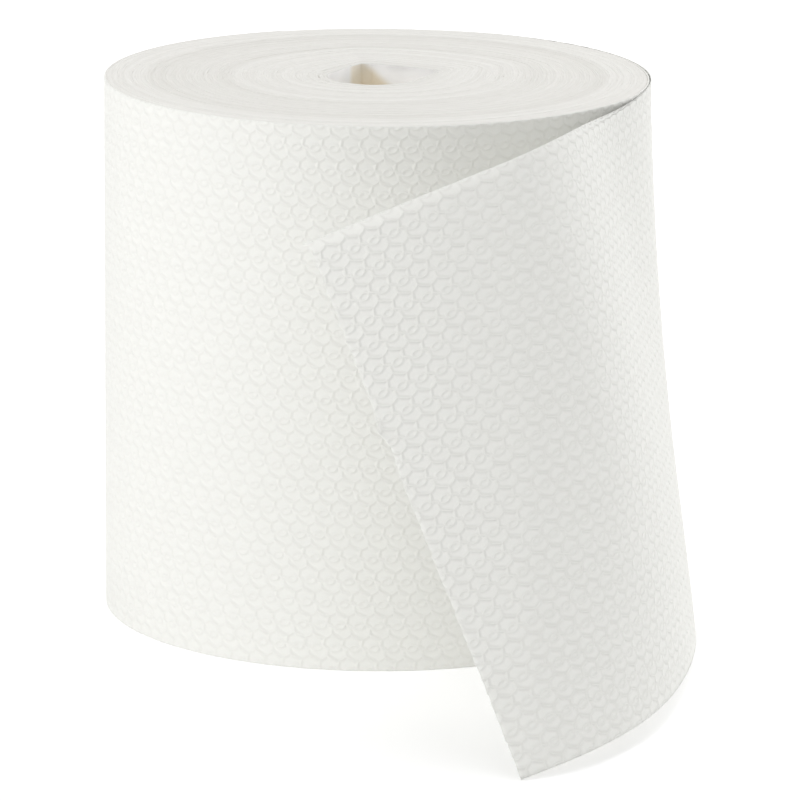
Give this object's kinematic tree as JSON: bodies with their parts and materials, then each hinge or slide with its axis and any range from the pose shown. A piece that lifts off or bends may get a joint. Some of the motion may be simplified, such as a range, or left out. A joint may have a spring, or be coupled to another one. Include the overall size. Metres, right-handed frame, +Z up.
{
  "type": "udder paper roll",
  "caption": "Coreless roll of white embossed wiping paper standing on one end, with its loose end unwound round the right-hand side and a creased centre hole.",
  "frame": {"origin": "roll's axis at the end face that it stands on", "axes": "+Z up along the roll's axis; -Y towards the side where the loose end's torn edge stands; +X towards the side that the loose end passes"},
  "size_m": [0.2627, 0.4215, 0.246],
  "materials": {
    "embossed_paper": "soft matte two-ply tissue, embossed all over with hooked curls"
  },
  "bodies": {
    "root": {"paper_roll": "embossed_paper"}
  },
  "joints": []
}
